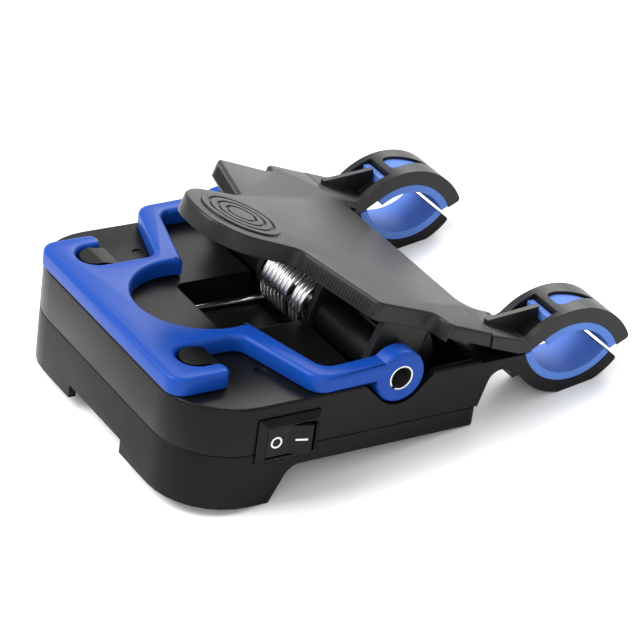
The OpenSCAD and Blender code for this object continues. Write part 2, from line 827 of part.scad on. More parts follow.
module jaw_relief() {
    cheek = 2.6;
    // recess between the cheeks
    difference() {
        across([[root.x + 0.4, root.y - 4], [jaw_x - 6.6, root.y - 4], [jaw_x - 6.6, root.y + 20],
            [root.x + 0.4, root.y + 20]], half_w - jaw_w + cheek, half_w - cheek);
        rod_y(seat_r + 2, half_w - jaw_w, half_w, upper_c);
        on_lever()
            box(0, 2 * root_u, 0, half_w, 0, plate_v);
    }
    // rectangular window for the pad's tongue, and a teardrop one for its boss
    box(jaw_x - 9.8, jaw_x - 6.6, half_w - jaw_w + cheek, half_w - cheek, upper_c.y + 10, upper_c.y + 40);
    slab(teardrop(0), upper_c.y + 8, upper_c.y + 40);
}

module jaw_gusset() {
    mid = half_w - jaw_w / 2;
    left_x = root.x - 10;
    right_x = jaw_x - 9.8;
    across([[left_x, root.y + 10 * tan(lever_tilt) - 2], [left_x, root.y + 10 * tan(lever_tilt) + 1.3],
        [right_x, upper_c.y + upper_r - 1.2], [right_x, upper_c.y + seat_r - 1], [root.x + 2, root.y - 2.5]],
        mid - 0.9, mid + 0.9);
}

// Raised disc on the thumb tab with three ring grooves
module thumb_disc() {
    translate([tab_x, 0, plate_v - 0.5])
        difference() {
            cylinder(r = disc_r, h = 1.1);
            for (k = [1 : 3])
                translate([0, 0, 0.6])
                    difference() {
                        cylinder(r = 2.3 + 2.9 * k, h = 1);
                        translate([0, 0, -1])
                            cylinder(r = 1.3 + 2.9 * k, h = 3);
                    }
        }
}

module lever_moulding() {
    difference() {
        union() {
            on_lever()
                difference() {
                    union() {
                        difference() {
                            slab(rounded(lever_plan), plate_v - skirt_depth, plate_v);
                            slab(rounded(inset(lever_plan, skirt_t)),
                                plate_v - skirt_depth - 1, plate_v - plate_t);
                            plate_notch(0);
                            box(web_right + 2, 2 * root_u, -half_w, half_w,
                                plate_v - skirt_depth - 1, plate_v - arm_depth);
                        }
                        both_sides() {
                            lever_web(web_a_in, web_a_out);
                            lever_web(web_b_in, web_b_out);
                        }
                        // lip along the plate's right edge
                        box(plate_right - skirt_t, plate_right, 7 - arm_in, arm_in - 7,
                            plate_v - arm_depth, plate_v - plate_t / 2);
                        thumb_disc();
                    }
                }
            both_sides()
                difference() {
                    upper_jaw();
                    jaw_relief();
                }
            both_sides()
                jaw_gusset();
        }
        both_sides()
            rod_y(pin_r + pin_fit, web_a_in - 1, web_b_out + 1);
    }
}

// The part of the lever past the plate, on the side of positive y
module jaw_side() {
    on_lever()
        box(jaw_split_u, 3 * root_u, 0, half_w + 1, -3 * plate_v, 3 * plate_v);
}

module clamp_lever() {
    color([0.24, 0.24, 0.245])
        resting()
            difference() {
                lever_moulding();
                both_sides()
                    jaw_side();
            }
}

module upper_jaw_far() {
    color([0.24, 0.24, 0.245])
        resting()
            intersection() {
                lever_moulding();
                jaw_side();
            }
}

module upper_jaw_near() {
    color([0.24, 0.24, 0.245])
        resting()
            intersection() {
                lever_moulding();
                mirror([0, 1, 0])
                    jaw_side();
            }
}

// ---- Pads ----
module pad_band(c, a0, a1) {
    across(rounded(concat([for (q = arc(c, seat_r - seat_gap, a0, a1, 24)) [q.x, q.y, 0]],
        [for (q = arc(c, grip_r, a1, a0, 24)) [q.x, q.y, 0]])),
        half_w - jaw_w, half_w - 0.2);
}

module upper_pad() {
    pad_band(upper_c, upper_tip_a + 2, upper_root_a);
    // boss that fills the teardrop window
    intersection() {
        slab(teardrop(seat_gap), upper_c.y + 8, upper_c.y + 40);
        difference() {
            rod_y(upper_r - 1, half_w - jaw_w, half_w, upper_c);
            rod_y(seat_r - 0.5, half_w - jaw_w - 1, half_w + 1, upper_c);
        }
    }
    // tongue that stands up in the rectangular window
    box(jaw_x - 9.4, jaw_x - 7.2, half_w - jaw_w + 2.9, half_w - 2.9,
        upper_c.y + 15.6, upper_c.y + seat_r + 2.2);
}

module lower_pad() {
    pad_band(lower_c, lower_root_a + 1, lower_tip_a - 1);
}

module upper_pad_near() { color([0.35, 0.52, 0.86]) resting() mirror([0, 1, 0]) upper_pad(); }
module upper_pad_far() { color([0.35, 0.52, 0.86]) resting() upper_pad(); }
module lower_pad_near() { color([0.35, 0.52, 0.86]) resting() mirror([0, 1, 0]) lower_pad(); }
module lower_pad_far() { color([0.35, 0.52, 0.86]) resting() lower_pad(); }

// ---- Stand ----
arm_in_y = half_w - ring_w;
stand_plan = mirrored([[pin_x, arm_in_y, 0], [pin_x, half_w, 0], [40.5, half_w, 6],
    [31.5, slot_y - slot_w / 2, 5], [slot_x, slot_y - slot_w / 2, 5.8], [slot_x, slot_y + slot_w / 2, 5.8],
    [hook_x, slot_y + slot_w / 2, 2.6], [hook_x, 43.6, 2.8], [-0.4, 43.6, 5.5]]);

module stand_moulding() {
    difference() {
        union() {
            difference() {
                slab(rounded(stand_plan), stand_z, stand_top);
                translate([eye_x, 0, stand_z - 1])
                    cylinder(r = eye_r, h = stand_t + 2, $fn = 96);
                slab(rounded(mirrored([[pin_x + 20, arm_in_y, 0], [45.8, arm_in_y, 4.5],
                    [37.6, 20, 4]])), stand_z - 1, stand_top + 1);
                rod_y(ring_r - 1, arm_in_y - 1, half_w + 1);
                mirror([0, 1, 0])
                    rod_y(ring_r - 1, arm_in_y - 1, half_w + 1);
            }
            both_sides()
                rod_y(ring_r, arm_in_y, half_w);
        }
        rod_y(pin_r + pin_fit, -half_w - 1, half_w + 1);
    }
}

// The arm and ring on the side of positive y
module arm_side() {
    box(eye_x, 2 * pin_x, 0, half_w + 1, 0, 2 * case_h);
}

module stand() {
    color([0.10, 0.30, 0.72])
        resting()
            difference() {
                stand_moulding();
                both_sides()
                    arm_side();
            }
}

module stand_arm_far() {
    color([0.10, 0.30, 0.72])
        resting()
            intersection() {
                stand_moulding();
                arm_side();
            }
}

module stand_arm_near() {
    color([0.10, 0.30, 0.72])
        resting()
            intersection() {
                stand_moulding();
                mirror([0, 1, 0])
                    arm_side();
            }
}

module stand_washers() {
    color([0.75, 0.76, 0.78])
        resting()
            both_sides()
                difference() {
                    rod_y(ring_r - 2.4, arm_in_y - washer_t - turn_gap, arm_in_y - turn_gap);
                    rod_y(pin_r + pin_fit, 0, half_w);
                }
}

// ---- Fasteners ----
module screw(z_head, length) {
    difference() {
        union() {
            translate([0, 0, z_head])
                cylinder(r = screw_head_r, h = screw_head_t);
            translate([0, 0, z_head + screw_head_t - 0.01])
                cylinder(r = screw_r - 0.2, h = length);
        }
        for (a = [0, 90])
            rotate([0, 0, a])
                translate([-1.7, -0.4, z_head - 1])
                    cube([3.4, 0.8, 1.8]);
    }
}

module case_screws() {
    color([0.55, 0.55, 0.57])
        resting()
            for (s = screw_places)
                translate([s.x, s.y, 0])
                    screw(s.x > trough_x ? rear_head_z : lens_depth + lens_t + seat_gap + 0.3,
                        s.x > trough_x ? 6 : 14);
}

module door_screw() {
    color([0.55, 0.55, 0.57])
        resting()
            translate([door_screw_at.x, door_screw_at.y, 0])
                screw(arm_z - screw_head_t, 6.6);
}

upper_case();
lower_jaw_near();
lower_jaw_far();
lower_case();
battery_door();
lens();
reflector();
led_board();
leds();
control_board();
board_parts();
battery_cells();
battery_contacts();
switch_housing();
switch_terminals();
switch_leads();
rocker();
rocker_marks();
hinge_pin();
torsion_spring();
spring_lever_end();
clamp_lever();
upper_jaw_near();
upper_jaw_far();
upper_pad_near();
upper_pad_far();
lower_pad_near();
lower_pad_far();
stand();
stand_arm_near();
stand_arm_far();
stand_washers();
case_screws();
door_screw();
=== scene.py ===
"""Looks of a spring-clamp work light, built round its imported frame.

Lengths are in metres. Pieces are shaped in the frame that suits them, the case's or the
lever's, and are then settled into the stored frame, where the lamp lies tipped on its rim.
"""
import json
import logging
import math
from dataclasses import dataclass, field
from enum import Enum
from typing import Callable, Optional

import bmesh
import bpy
from mathutils import Matrix, Vector


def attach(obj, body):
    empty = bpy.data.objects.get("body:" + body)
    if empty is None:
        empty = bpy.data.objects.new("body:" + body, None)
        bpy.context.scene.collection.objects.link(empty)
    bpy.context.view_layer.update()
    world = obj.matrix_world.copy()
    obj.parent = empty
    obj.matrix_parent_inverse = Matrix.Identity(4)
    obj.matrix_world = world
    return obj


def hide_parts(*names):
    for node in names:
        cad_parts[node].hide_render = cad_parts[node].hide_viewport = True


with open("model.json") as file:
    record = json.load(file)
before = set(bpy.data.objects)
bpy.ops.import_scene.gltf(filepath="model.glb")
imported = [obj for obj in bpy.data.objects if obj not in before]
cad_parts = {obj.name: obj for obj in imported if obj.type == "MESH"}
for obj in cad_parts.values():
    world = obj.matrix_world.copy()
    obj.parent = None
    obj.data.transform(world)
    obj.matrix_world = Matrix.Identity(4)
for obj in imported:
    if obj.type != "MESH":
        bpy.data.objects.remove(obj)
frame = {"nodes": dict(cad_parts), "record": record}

log = logging.getLogger("work_light")

MM = 0.001
WELD = 0.004 * MM  # vertices this close are one
LEVEL = 0.02 * MM  # how near a vertex lies to a plane that it is on
FLAT = math.radians(0.6)  # faces that turn less than this become one
SHARP = math.radians(35)  # edges that turn more than this can be rounded
NODES: dict[str, bpy.types.Object] = frame["nodes"]


class Body(Enum):
    """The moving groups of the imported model."""

    CASE = "case"
    LEVER = "lever"
    STAND = "stand"
    ROCKER = "rocker"


@dataclass(frozen=True)
class Resting:
    """How the case frame and the lever frame lie in the stored frame.

    The case frame has x from the head wall towards the jaws and z up from the head's rim.
    The lever frame has its origin on the pin and its z square to the lever plate.

    Attributes:
        head: x of the edge of the head's rim that the lamp rests on.
        end: x of the case's far end.
        end_foot: z of that end's lower edge, which the lamp rests on too.
        middle: x from the resting edge to the middle of the stored frame.
        side: y of the case's middle plane in the stored frame.
        tip: how far the case is turned to lie on those two edges.
        pin: x and z of the hinge pin in the case frame.
        plate_top: height of the lever plate's face above the pin, in the lever frame.
        root: x and z from the pin to the jaw's root, which the plate's face runs to.
        lever_tilt: turn from the case frame to the lever frame.
    """

    head: float = 28.5 * MM
    end: float = 100 * MM
    end_foot: float = 11.8 * MM
    middle: float = 50.8135 * MM
    side: float = 1.9509 * MM
    tip: float = math.atan2(end_foot, end - head)
    pin: tuple[float, float] = (70 * MM, 34.3 * MM)
    plate_top: float = 19 * MM
    root: tuple[float, float] = (44.5 * MM, 3.7 * MM)
    lever_tilt: float = math.asin(plate_top / math.hypot(*root)) - math.atan2(root[1], root[0])

    def case(self) -> Matrix:
        """Matrix from the case frame to the stored frame."""
        return (Matrix.Translation((-self.middle, self.side, 0))
                @ Matrix.Rotation(self.tip, 4, "Y") @ Matrix.Translation((-self.head, 0, 0)))

    def lever(self) -> Matrix:
        """Matrix from the lever frame to the stored frame."""
        return (self.case() @ Matrix.Translation((self.pin[0], 0, self.pin[1]))
                @ Matrix.Rotation(self.lever_tilt, 4, "Y"))


REST = Resting()


# ---- Shaping ----
EdgeTest = Callable[[bmesh.types.BMEdge], bool]


def deselect() -> None:
    """Leaves nothing selected, so that an operator acts only on the piece in hand."""
    if bpy.context.mode != "OBJECT":
        bpy.ops.object.mode_set(mode="OBJECT")
    bpy.ops.object.select_all(action="DESELECT")


def take(piece: bpy.types.Object) -> None:
    """Makes a piece the only one selected, and the active one."""
    deselect()
    piece.select_set(True)
    bpy.context.view_layer.objects.active = piece


def named(name: str) -> bpy.types.Object:
    """Gives the object that an operator has just added its name, and returns it."""
    piece = bpy.context.object
    piece.name = name
    piece.data.name = name
    return piece


def apply_all(piece: bpy.types.Object) -> None:
    """Applies every modifier on a piece, in order."""
    take(piece)
    for modifier in list(piece.modifiers):
        bpy.ops.object.modifier_apply(modifier=modifier.name)


def copy_of(nodes: tuple[str, ...], name: str, place: Matrix,
            seam: Optional[float] = None) -> bpy.types.Object:
    """Copies the mesh of one moulding into a local frame, merged and with its flat faces whole.

    Args:
        nodes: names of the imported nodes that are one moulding.
        name: name of the new piece.
        place: matrix from the local frame to the stored frame.
        seam: x in the local frame of the plane where the nodes meet.

    Returns:
        The new piece, with its mesh in the local frame.
    """
    pieces = []
    for node in nodes:
        piece = bpy.data.objects.new(name, NODES[node].data.copy())
        bpy.context.scene.collection.objects.link(piece)
        piece.data.transform(place.inverted())
        pieces.append(piece)
    piece = joined(pieces, name)
    bpy.ops.object.mode_set(mode="EDIT")
    if seam is not None:
        open_seam(piece, seam)
    bpy.ops.mesh.select_all(action="SELECT")
    bpy.ops.mesh.remove_doubles(threshold=WELD)
    bpy.ops.mesh.customdata_custom_splitnormals_clear()
    bpy.ops.mesh.select_all(action="SELECT")
    bpy.ops.mesh.dissolve_limited(angle_limit=FLAT)
    bpy.ops.object.mode_set(mode="OBJECT")
    return piece


def open_seam(piece: bpy.types.Object, seam: float) -> None:
    """Deletes the faces that lie in the plane where two nodes of one moulding meet.

    Args:
        piece: the piece, in edit mode.
        seam: x of the plane in the piece's frame.
    """
    bpy.ops.mesh.select_mode(type="FACE")
    bpy.ops.mesh.select_all(action="DESELECT")
    shape = bmesh.from_edit_mesh(piece.data)
    for face in shape.faces:
        if all(abs(v.co.x - seam) < WELD for v in face.verts):
            face.select_set(True)
    bmesh.update_edit_mesh(piece.data)
    bpy.ops.mesh.delete(type="FACE")
    bpy.ops.mesh.select_mode(type="VERT")


def level_with(height: float) -> EdgeTest:
    """Makes a test for edges that lie at one height of the local frame."""
    return lambda edge: all(abs(v.co.z - height) < LEVEL for v in edge.verts)


def bevel_where(piece: bpy.types.Object, width: float, segments: int, test: EdgeTest) -> None:
    """Rounds the sharp convex edges that pass a test.

    Args:
        piece: the piece, in its local frame.
        width: size of the rounding along each face.
        segments: number of faces across the rounding.
        test: says of an edge whether it is rounded.
    """
    take(piece)
    bpy.ops.object.mode_set(mode="EDIT")
    bpy.ops.mesh.select_mode(type="EDGE")
    bpy.ops.mesh.select_all(action="DESELECT")
    shape = bmesh.from_edit_mesh(piece.data)
    chosen = [edge for edge in shape.edges if len(edge.link_faces) == 2 and edge.is_convex
              and edge.calc_face_angle(0) > SHARP and test(edge)]
    for edge in chosen:
        edge.select_set(True)
    shape.select_flush_mode()
    bmesh.update_edit_mesh(piece.data)
    if chosen:
        bpy.ops.mesh.bevel(offset=width, offset_type="OFFSET", segments=segments, profile=0.5,
                           affect="EDGES", clamp_overlap=False, miter_outer="SHARP")
    bpy.ops.object.mode_set(mode="OBJECT")


def settle(piece: bpy.types.Object, place: Matrix, smooth: float = 30) -> bpy.types.Object:
    """Puts a finished mesh into the stored frame, smooths it and leaves its object at the origin.

    Args:
        piece: the piece, in a local frame.
        place: matrix from the local frame to the stored frame.
        smooth: edges flatter than this many degrees are shaded smooth.

    Returns:
        The same piece.
    """
    piece.data.transform(place @ piece.matrix_world)
    piece.matrix_world = Matrix.Identity(4)
    take(piece)
    bpy.ops.object.shade_smooth_by_angle(angle=math.radians(smooth))
    deselect()
    return piece


def joined(pieces: list[bpy.types.Object], name: str) -> bpy.types.Object:
    """Joins pieces into the first of them."""
    deselect()
    for piece in pieces:
        piece.select_set(True)
    bpy.context.view_layer.objects.active = pieces[0]
    bpy.ops.object.join()
    return named(name)


# ---- Finishes ----
class Effect(Enum):
    """Shader node groups that the finishes share."""

    GRAIN = "moulded_grain"
    # lighter edges: partly rubbed, partly a painted highlight
    WEAR_AND_HIGHLIGHT = "edge_wear_and_painted_highlight"
    # paler upper faces: partly dusting, partly painted light from above
    DUST_AND_TOP_LIGHT = "dust_and_painted_top_light"


def new_group(effect: Effect, inputs: dict[str, float], outputs: dict[str, str]) -> bpy.types.NodeTree:
    """Starts a shader node group with plain number inputs.

    Args:
        effect: which effect the group makes.
        inputs: name and default of each number that goes in.
        outputs: name and socket type of what comes out.

    Returns:
        The node tree, with its input and output nodes named "in" and "out".
    """
    tree = bpy.data.node_groups.new(effect.value, "ShaderNodeTree")
    for name, default in inputs.items():
        socket = tree.interface.new_socket(name, in_out="INPUT", socket_type="NodeSocketFloat")
        socket.default_value = default
    for name, kind in outputs.items():
        tree.interface.new_socket(name, in_out="OUTPUT", socket_type=kind)
    tree.nodes.new("NodeGroupInput").name = "in"
    tree.nodes.new("NodeGroupOutput").name = "out"
    return tree


def make_grain() -> bpy.types.NodeTree:
    """Fine moulded texture: a roughness mask and a height, from noise at two sizes."""
    tree = new_group(Effect.GRAIN, {"Scale": 1800.0}, {"Mask": "NodeSocketFloat",
                                                        "Height": "NodeSocketFloat"})
    nodes, links = tree.nodes, tree.links
    place = nodes.new("ShaderNodeTexCoord")
    fine = nodes.new("ShaderNodeTexNoise")
    fine.inputs["Detail"].default_value = 4.0
    broad = nodes.new("ShaderNodeTexNoise")
    broad.inputs["Scale"].default_value = 45.0
    broad.inputs["Detail"].default_value = 5.0
    links.new(place.outputs["Object"], fine.inputs["Vector"])
    links.new(place.outputs["Object"], broad.inputs["Vector"])
    links.new(nodes["in"].outputs["Scale"], fine.inputs["Scale"])
    links.new(broad.outputs["Fac"], nodes["out"].inputs["Mask"])
    links.new(fine.outputs["Fac"], nodes["out"].inputs["Height"])
    return tree


def make_wear_and_highlight() -> bpy.types.NodeTree:
    """A mask that is white along sharp edges, broken up by noise, and the softened normal. The mask
    lays a lighter colour along the edges: partly rubbed edges, partly a painted highlight.
    """
    tree = new_group(Effect.WEAR_AND_HIGHLIGHT, {"Radius": 0.0004}, {"Mask": "NodeSocketFloat",
                                                        "Normal": "NodeSocketVector"})
    nodes, links = tree.nodes, tree.links
    soft = nodes.new("ShaderNodeBevel")
    soft.samples = 6
    surface = nodes.new("ShaderNodeNewGeometry")
    dot = nodes.new("ShaderNodeVectorMath")
    dot.operation = "DOT_PRODUCT"
    edge = nodes.new("ShaderNodeMapRange")
    edge.inputs["From Min"].default_value = 0.995
    edge.inputs["From Max"].default_value = 0.80
    place = nodes.new("ShaderNodeTexCoord")
    patch = nodes.new("ShaderNodeTexNoise")
    patch.inputs["Scale"].default_value = 160.0
    patch.inputs["Detail"].default_value = 6.0
    broken = nodes.new("ShaderNodeMapRange")
    broken.inputs["From Min"].default_value = 0.42
    broken.inputs["From Max"].default_value = 0.66
    both = nodes.new("ShaderNodeMath")
    both.operation = "MULTIPLY"
    links.new(nodes["in"].outputs["Radius"], soft.inputs["Radius"])
    links.new(soft.outputs["Normal"], dot.inputs[0])
    links.new(surface.outputs["Normal"], dot.inputs[1])
    links.new(dot.outputs["Value"], edge.inputs["Value"])
    links.new(place.outputs["Object"], patch.inputs["Vector"])
    links.new(patch.outputs["Fac"], broken.inputs["Value"])
    links.new(edge.outputs["Result"], both.inputs[0])
    links.new(broken.outputs["Result"], both.inputs[1])
    links.new(both.outputs["Value"], nodes["out"].inputs["Mask"])
    links.new(soft.outputs["Normal"], nodes["out"].inputs["Normal"])
    return tree


def make_dust_and_top_light() -> bpy.types.NodeTree:
    """A faint mask on faces that look up, broken into cloudy specks. It lays a pale colour there:
    partly dusting, partly painted light from above.
    """
    tree = new_group(Effect.DUST_AND_TOP_LIGHT, {"Amount": 0.1}, {"Mask": "NodeSocketFloat"})
    nodes, links = tree.nodes, tree.links
    surface = nodes.new("ShaderNodeNewGeometry")
    split = nodes.new("ShaderNodeSeparateXYZ")
    up = nodes.new("ShaderNodeMapRange")
    up.inputs["From Min"].default_value = 0.35
    up.inputs["From Max"].default_value = 1.0
    place = nodes.new("ShaderNodeTexCoord")
    cloud = nodes.new("ShaderNodeTexNoise")
    cloud.inputs["Scale"].default_value = 60.0
    cloud.inputs["Detail"].default_value = 8.0
    speck = nodes.new("ShaderNodeMapRange")
    speck.inputs["From Min"].default_value = 0.45
    speck.inputs["From Max"].default_value = 0.8
    both = nodes.new("ShaderNodeMath")
    both.operation = "MULTIPLY"
    scaled = nodes.new("ShaderNodeMath")
    scaled.operation = "MULTIPLY"
    links.new(surface.outputs["Normal"], split.inputs["Vector"])
    links.new(split.outputs["Z"], up.inputs["Value"])
    links.new(place.outputs["Object"], cloud.inputs["Vector"])
    links.new(cloud.outputs["Fac"], speck.inputs["Value"])
    links.new(up.outputs["Result"], both.inputs[0])
    links.new(speck.outputs["Result"], both.inputs[1])
    links.new(both.outputs["Value"], scaled.inputs[0])
    links.new(nodes["in"].outputs["Amount"], scaled.inputs[1])
    links.new(scaled.outputs["Value"], nodes["out"].inputs["Mask"])
    return tree


EFFECTS: dict[Effect, bpy.types.NodeTree] = {}
# pale grey laid on upward faces: partly dusting, partly painted light from above
DUST_AND_TOP_LIGHT_COLOR = (0.42, 0.40, 0.37)
SMOOTHEST = 0.02  # no finish wanders to a roughness under this


@dataclass(frozen=True)
class Finish:
    """One surface finish, made into a material with the shared effects.

    Attributes:
        name: name of the material and of the record's slot.
        color: linear base colour.
        roughness: roughness where the surface is plain.
        metallic: 1 for bare metal.
        spread: how far roughness wanders from place to place.
        grain: height of the fine texture, in metres.
        grain_scale: how fine the texture is.
        worn_and_lit: lighter colour laid along sharp edges, partly for rubbed edges and partly as a
            painted highlight.
        wear_and_highlight: how much of that lighter edge colour shows.
        soften: radius over which sharp edges catch the light.
        dust_and_top_light: how much pale colour lies on the upper faces, partly dusting and partly
            painted light from above.
        coat: weight of a clear gloss layer.
        clear: 1 for see-through plastic.
        shine: strength of the plain surface's reflection.
    """

    name: str
    color: tuple[float, float, float]
    roughness: float
    metallic: float = 0.0
    spread: float = 0.08
    grain: float = 0.00002
    grain_scale: float = 1800.0
    # lighter edge colour and its share: rubbed edges and painted highlight
    worn_and_lit: tuple[float, float, float] = (0.2, 0.2, 0.2)
    wear_and_highlight: float = 0.15
    soften: float = 0.0004
    # share of pale colour on upper faces: dusting and painted light from above
    dust_and_top_light: float = 0.03
    coat: float = 0.0
    clear: float = 0.0
    shine: float = 0.5

    def build(self) -> bpy.types.Material:
        """Makes the material."""
        material = bpy.data.materials.new(self.name)
        material.use_nodes = True
        nodes, links = material.node_tree.nodes, material.node_tree.links
        shader = nodes["Principled BSDF"]
        shader.inputs["Metallic"].default_value = self.metallic
        shader.inputs["Coat Weight"].default_value = self.coat
        shader.inputs["Specular IOR Level"].default_value = self.shine
        shader.inputs["Transmission Weight"].default_value = self.clear
        # lighter edges are partly rubbed, partly a painted highlight; paler upper faces are partly
        # dusting, partly painted light from above
        wear_and_highlight = self.group(nodes, Effect.WEAR_AND_HIGHLIGHT, "Radius", self.soften)
        grain = self.group(nodes, Effect.GRAIN, "Scale", self.grain_scale)
        dust_and_top_light = self.group(nodes, Effect.DUST_AND_TOP_LIGHT, "Amount", self.dust_and_top_light)
        links.new(self.colored(nodes, links, wear_and_highlight, dust_and_top_light), shader.inputs["Base Color"])
        rough = nodes.new("ShaderNodeMapRange")
        rough.inputs["To Min"].default_value = max(SMOOTHEST, self.roughness - self.spread)
        rough.inputs["To Max"].default_value = min(1.0, self.roughness + self.spread)
        links.new(grain.outputs["Mask"], rough.inputs["Value"])
        links.new(rough.outputs["Result"], shader.inputs["Roughness"])
        bump = nodes.new("ShaderNodeBump")
        bump.inputs["Distance"].default_value = self.grain
        links.new(grain.outputs["Height"], bump.inputs["Height"])
        links.new(wear_and_highlight.outputs["Normal"], bump.inputs["Normal"])
        links.new(bump.outputs["Normal"], shader.inputs["Normal"])
        return material

    def colored(self, nodes: bpy.types.Nodes, links: bpy.types.NodeLinks,
                wear_and_highlight: bpy.types.Node, dust_and_top_light: bpy.types.Node) -> bpy.types.NodeSocket:
        """Mixes the base colour with the lighter edge colour, which is rubbed edges and painted
        highlight, and with the pale colour of upper faces, which is dusting and painted light from
        above.

        Args:
            nodes: the material's nodes.
            links: the material's links.
            wear_and_highlight: the group for rubbed edges and painted highlight.
            dust_and_top_light: the group for dusting and painted light from above.

        Returns:
            The mixed colour's output.
        """
        share = nodes.new("ShaderNodeMath")
        share.operation = "MULTIPLY"
        share.inputs[1].default_value = self.wear_and_highlight
        links.new(wear_and_highlight.outputs["Mask"], share.inputs[0])
        # lighter colour along the edges: rubbed edges and painted highlight
        edged = nodes.new("ShaderNodeMix")
        edged.data_type = "RGBA"
        edged.inputs["A"].default_value = (*self.color, 1)
        edged.inputs["B"].default_value = (*self.worn_and_lit, 1)
        # pale colour on upper faces: dusting and painted light from above
        dusted_and_lit = nodes.new("ShaderNodeMix")
        dusted_and_lit.data_type = "RGBA"
        dusted_and_lit.inputs["B"].default_value = (*DUST_AND_TOP_LIGHT_COLOR, 1)
        links.new(share.outputs["Value"], edged.inputs["Factor"])
        links.new(edged.outputs["Result"], dusted_and_lit.inputs["A"])
        links.new(dust_and_top_light.outputs["Mask"], dusted_and_lit.inputs["Factor"])
        return dusted_and_lit.outputs["Result"]

    @staticmethod
    def group(nodes: bpy.types.Nodes, effect: Effect, name: str, value: float) -> bpy.types.Node:
        """Places a shared effect in a material and sets its one number."""
        node = nodes.new("ShaderNodeGroup")
        node.node_tree = EFFECTS[effect]
        node.inputs[name].default_value = value
        return node


# The lighter edge colours hold painted highlight as well as rubbing; the upper-face shares hold
# painted light from above as well as dusting.
FINISHES: tuple[Finish, ...] = (
    Finish("case_black", (0.0035, 0.0035, 0.0038), 0.34, grain=0.000014, worn_and_lit=(0.03, 0.03, 0.03),
           shine=0.13, dust_and_top_light=0.004),
    Finish("lever_grey", (0.0075, 0.0075, 0.0078), 0.40, spread=0.05, grain=0.00003,
           worn_and_lit=(0.07, 0.07, 0.07), wear_and_highlight=0.25, shine=0.26, dust_and_top_light=0.006),
    Finish("stand_blue", (0.004, 0.048, 0.29), 0.38, spread=0.05, grain=0.000006,
           worn_and_lit=(0.02, 0.10, 0.42), wear_and_highlight=0.3, shine=0.16, dust_and_top_light=0.0),
    Finish("pad_blue", (0.075, 0.165, 0.49), 0.58, grain=0.00002, worn_and_lit=(0.12, 0.24, 0.60), shine=0.2,
           dust_and_top_light=0.0),
    Finish("spring_steel", (0.66, 0.66, 0.67), 0.22, metallic=1.0, grain=0.000006,
           worn_and_lit=(0.8, 0.8, 0.8), dust_and_top_light=0.0),
    Finish("pin_steel", (0.70, 0.70, 0.71), 0.24, metallic=1.0, grain=0.000006,
           worn_and_lit=(0.85, 0.85, 0.85), dust_and_top_light=0.0),
    Finish("screw_steel", (0.42, 0.42, 0.43), 0.34, metallic=1.0, grain=0.00001, dust_and_top_light=0.0),
    Finish("lens_clear", (0.92, 0.95, 0.97), 0.08, clear=0.9, spread=0.03, grain=0.0, wear_and_highlight=0.0,
           dust_and_top_light=0.0),
    Finish("reflector_white", (0.84, 0.84, 0.82), 0.22, grain=0.000004, dust_and_top_light=0.0, wear_and_highlight=0.0),
    Finish("led_yellow", (0.92, 0.74, 0.18), 0.45, dust_and_top_light=0.0, wear_and_highlight=0.0),
    Finish("board_white", (0.72, 0.74, 0.72), 0.40, dust_and_top_light=0.0, wear_and_highlight=0.0),
    Finish("board_green", (0.02, 0.16, 0.05), 0.38, dust_and_top_light=0.0, wear_and_highlight=0.0),
    Finish("chip_black", (0.03, 0.03, 0.033), 0.5, dust_and_top_light=0.0),
    Finish("cell_wrap", (0.42, 0.30, 0.06), 0.35, metallic=0.6, dust_and_top_light=0.0),
    Finish("contact_nickel", (0.60, 0.59, 0.56), 0.28, metallic=1.0, dust_and_top_light=0.0),
    Finish("terminal_brass", (0.66, 0.50, 0.22), 0.28, metallic=1.0, dust_and_top_light=0.0),
    Finish("lead_red", (0.50, 0.02, 0.02), 0.45, dust_and_top_light=0.0),
    Finish("switch_black", (0.003, 0.003, 0.0033), 0.28, grain=0.000004, worn_and_lit=(0.02, 0.02, 0.02),
           shine=0.16, dust_and_top_light=0.0),
    Finish("mark_white", (0.80, 0.80, 0.80), 0.45, grain=0.000004, wear_and_highlight=0.0, dust_and_top_light=0.0),
)
MATERIALS: dict[str, bpy.types.Material] = {}


def dress(piece: bpy.types.Object, finish: str) -> None:
    """Gives a piece one finish all over.

    Args:
        piece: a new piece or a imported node.
        finish: name of the finish, which is the record's slot too.
    """
    piece.data.materials.clear()
    piece.data.materials.append(MATERIALS[finish])


def fit(piece: bpy.types.Object, body: Body, finish: str, *nodes: str) -> None:
    """Dresses a new piece, puts it on its body and lets it stand for nodes.

    Args:
        piece: the finished piece, in the stored frame.
        body: the body that it moves with.
        finish: name of its finish.
        nodes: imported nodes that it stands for.
    """
    dress(piece, finish)
    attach(piece, body.value)
    if nodes:
        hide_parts(*nodes)
    log.info("%s: %d faces on %s", piece.name, len(piece.data.polygons), body.value)


